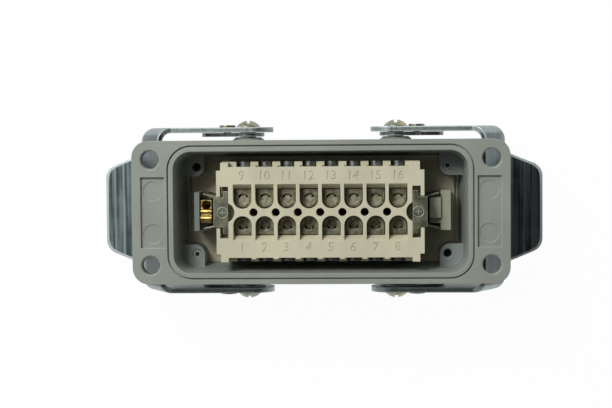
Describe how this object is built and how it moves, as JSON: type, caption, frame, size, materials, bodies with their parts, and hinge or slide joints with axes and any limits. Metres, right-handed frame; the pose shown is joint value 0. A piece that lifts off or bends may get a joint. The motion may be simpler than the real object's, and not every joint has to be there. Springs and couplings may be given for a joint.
{
  "type": "rectangular power connector",
  "caption": "Bulkhead mounted rectangular power connector: grey die-cast housing with a locking lever at each end and a screw-terminal insert with earth contacts.",
  "frame": {"origin": "centre of the insert's mating face, which is the lowest plane of the part", "axes": "+X along the housing towards terminals 8 and 16, +Y towards the upper terminal row, +Z from the mating face to the mounting flange and the terminal side"},
  "size_m": [0.138, 0.0556, 0.034],
  "materials": {
    "housing_grey": "satin warm-grey powder coat on die casting",
    "seal_black": "matt black nitrile rubber",
    "insert_beige": "pebble-beige moulded polycarbonate",
    "zinc_small": "zinc-plated steel",
    "earth_metal": "dull stamped steel",
    "brass": "plain brass",
    "lever_zinc": "blue-passivated zinc-plated sheet steel",
    "rivet_zinc": "zinc-plated steel with a faint yellow passivation",
    "contact_metal": "dull silver-plated copper alloy"
  },
  "bodies": {
    "connector": {"housing": "housing_grey", "rim_gasket": "seal_black", "insert_socket_body": "insert_beige", "insert_terminal_body": "insert_beige", "terminal_screws_1_8": "zinc_small", "terminal_screws_9_16": "zinc_small", "insert_screws": "zinc_small", "earth_bracket_left": "earth_metal", "earth_bracket_right": "earth_metal", "earth_clamp": "brass", "earth_screw": "brass", "pivot_screws": "rivet_zinc", "pivot_washers": "zinc_small", "contact_1": "contact_metal", "contact_2": "contact_metal", "contact_3": "contact_metal", "contact_4": "contact_metal", "contact_5": "contact_metal", "contact_6": "contact_metal", "contact_7": "contact_metal", "contact_8": "contact_metal", "contact_9": "contact_metal", "contact_10": "contact_metal", "contact_11": "contact_metal", "contact_12": "contact_metal", "contact_13": "contact_metal", "contact_14": "contact_metal", "contact_15": "contact_metal", "contact_16": "contact_metal"},
    "left_latch": {"left_lever": "lever_zinc", "left_cam_front": "lever_zinc", "left_cam_back": "lever_zinc", "left_cam_rivets": "rivet_zinc"},
    "right_latch": {"right_lever": "lever_zinc", "right_cam_front": "lever_zinc", "right_cam_back": "lever_zinc", "right_cam_rivets": "rivet_zinc"}
  },
  "joints": [
    {"name": "left_lever_hinge", "type": "hinge", "parent": "connector", "child": "left_latch", "pos_m": [-0.023, 0, 0.015], "axis": [0, -1, 0], "range_deg": [0, 40]},
    {"name": "right_lever_hinge", "type": "hinge", "parent": "connector", "child": "right_latch", "pos_m": [0.023, 0, 0.015], "axis": [0, 1, 0], "range_deg": [0, 40]}
  ]
}
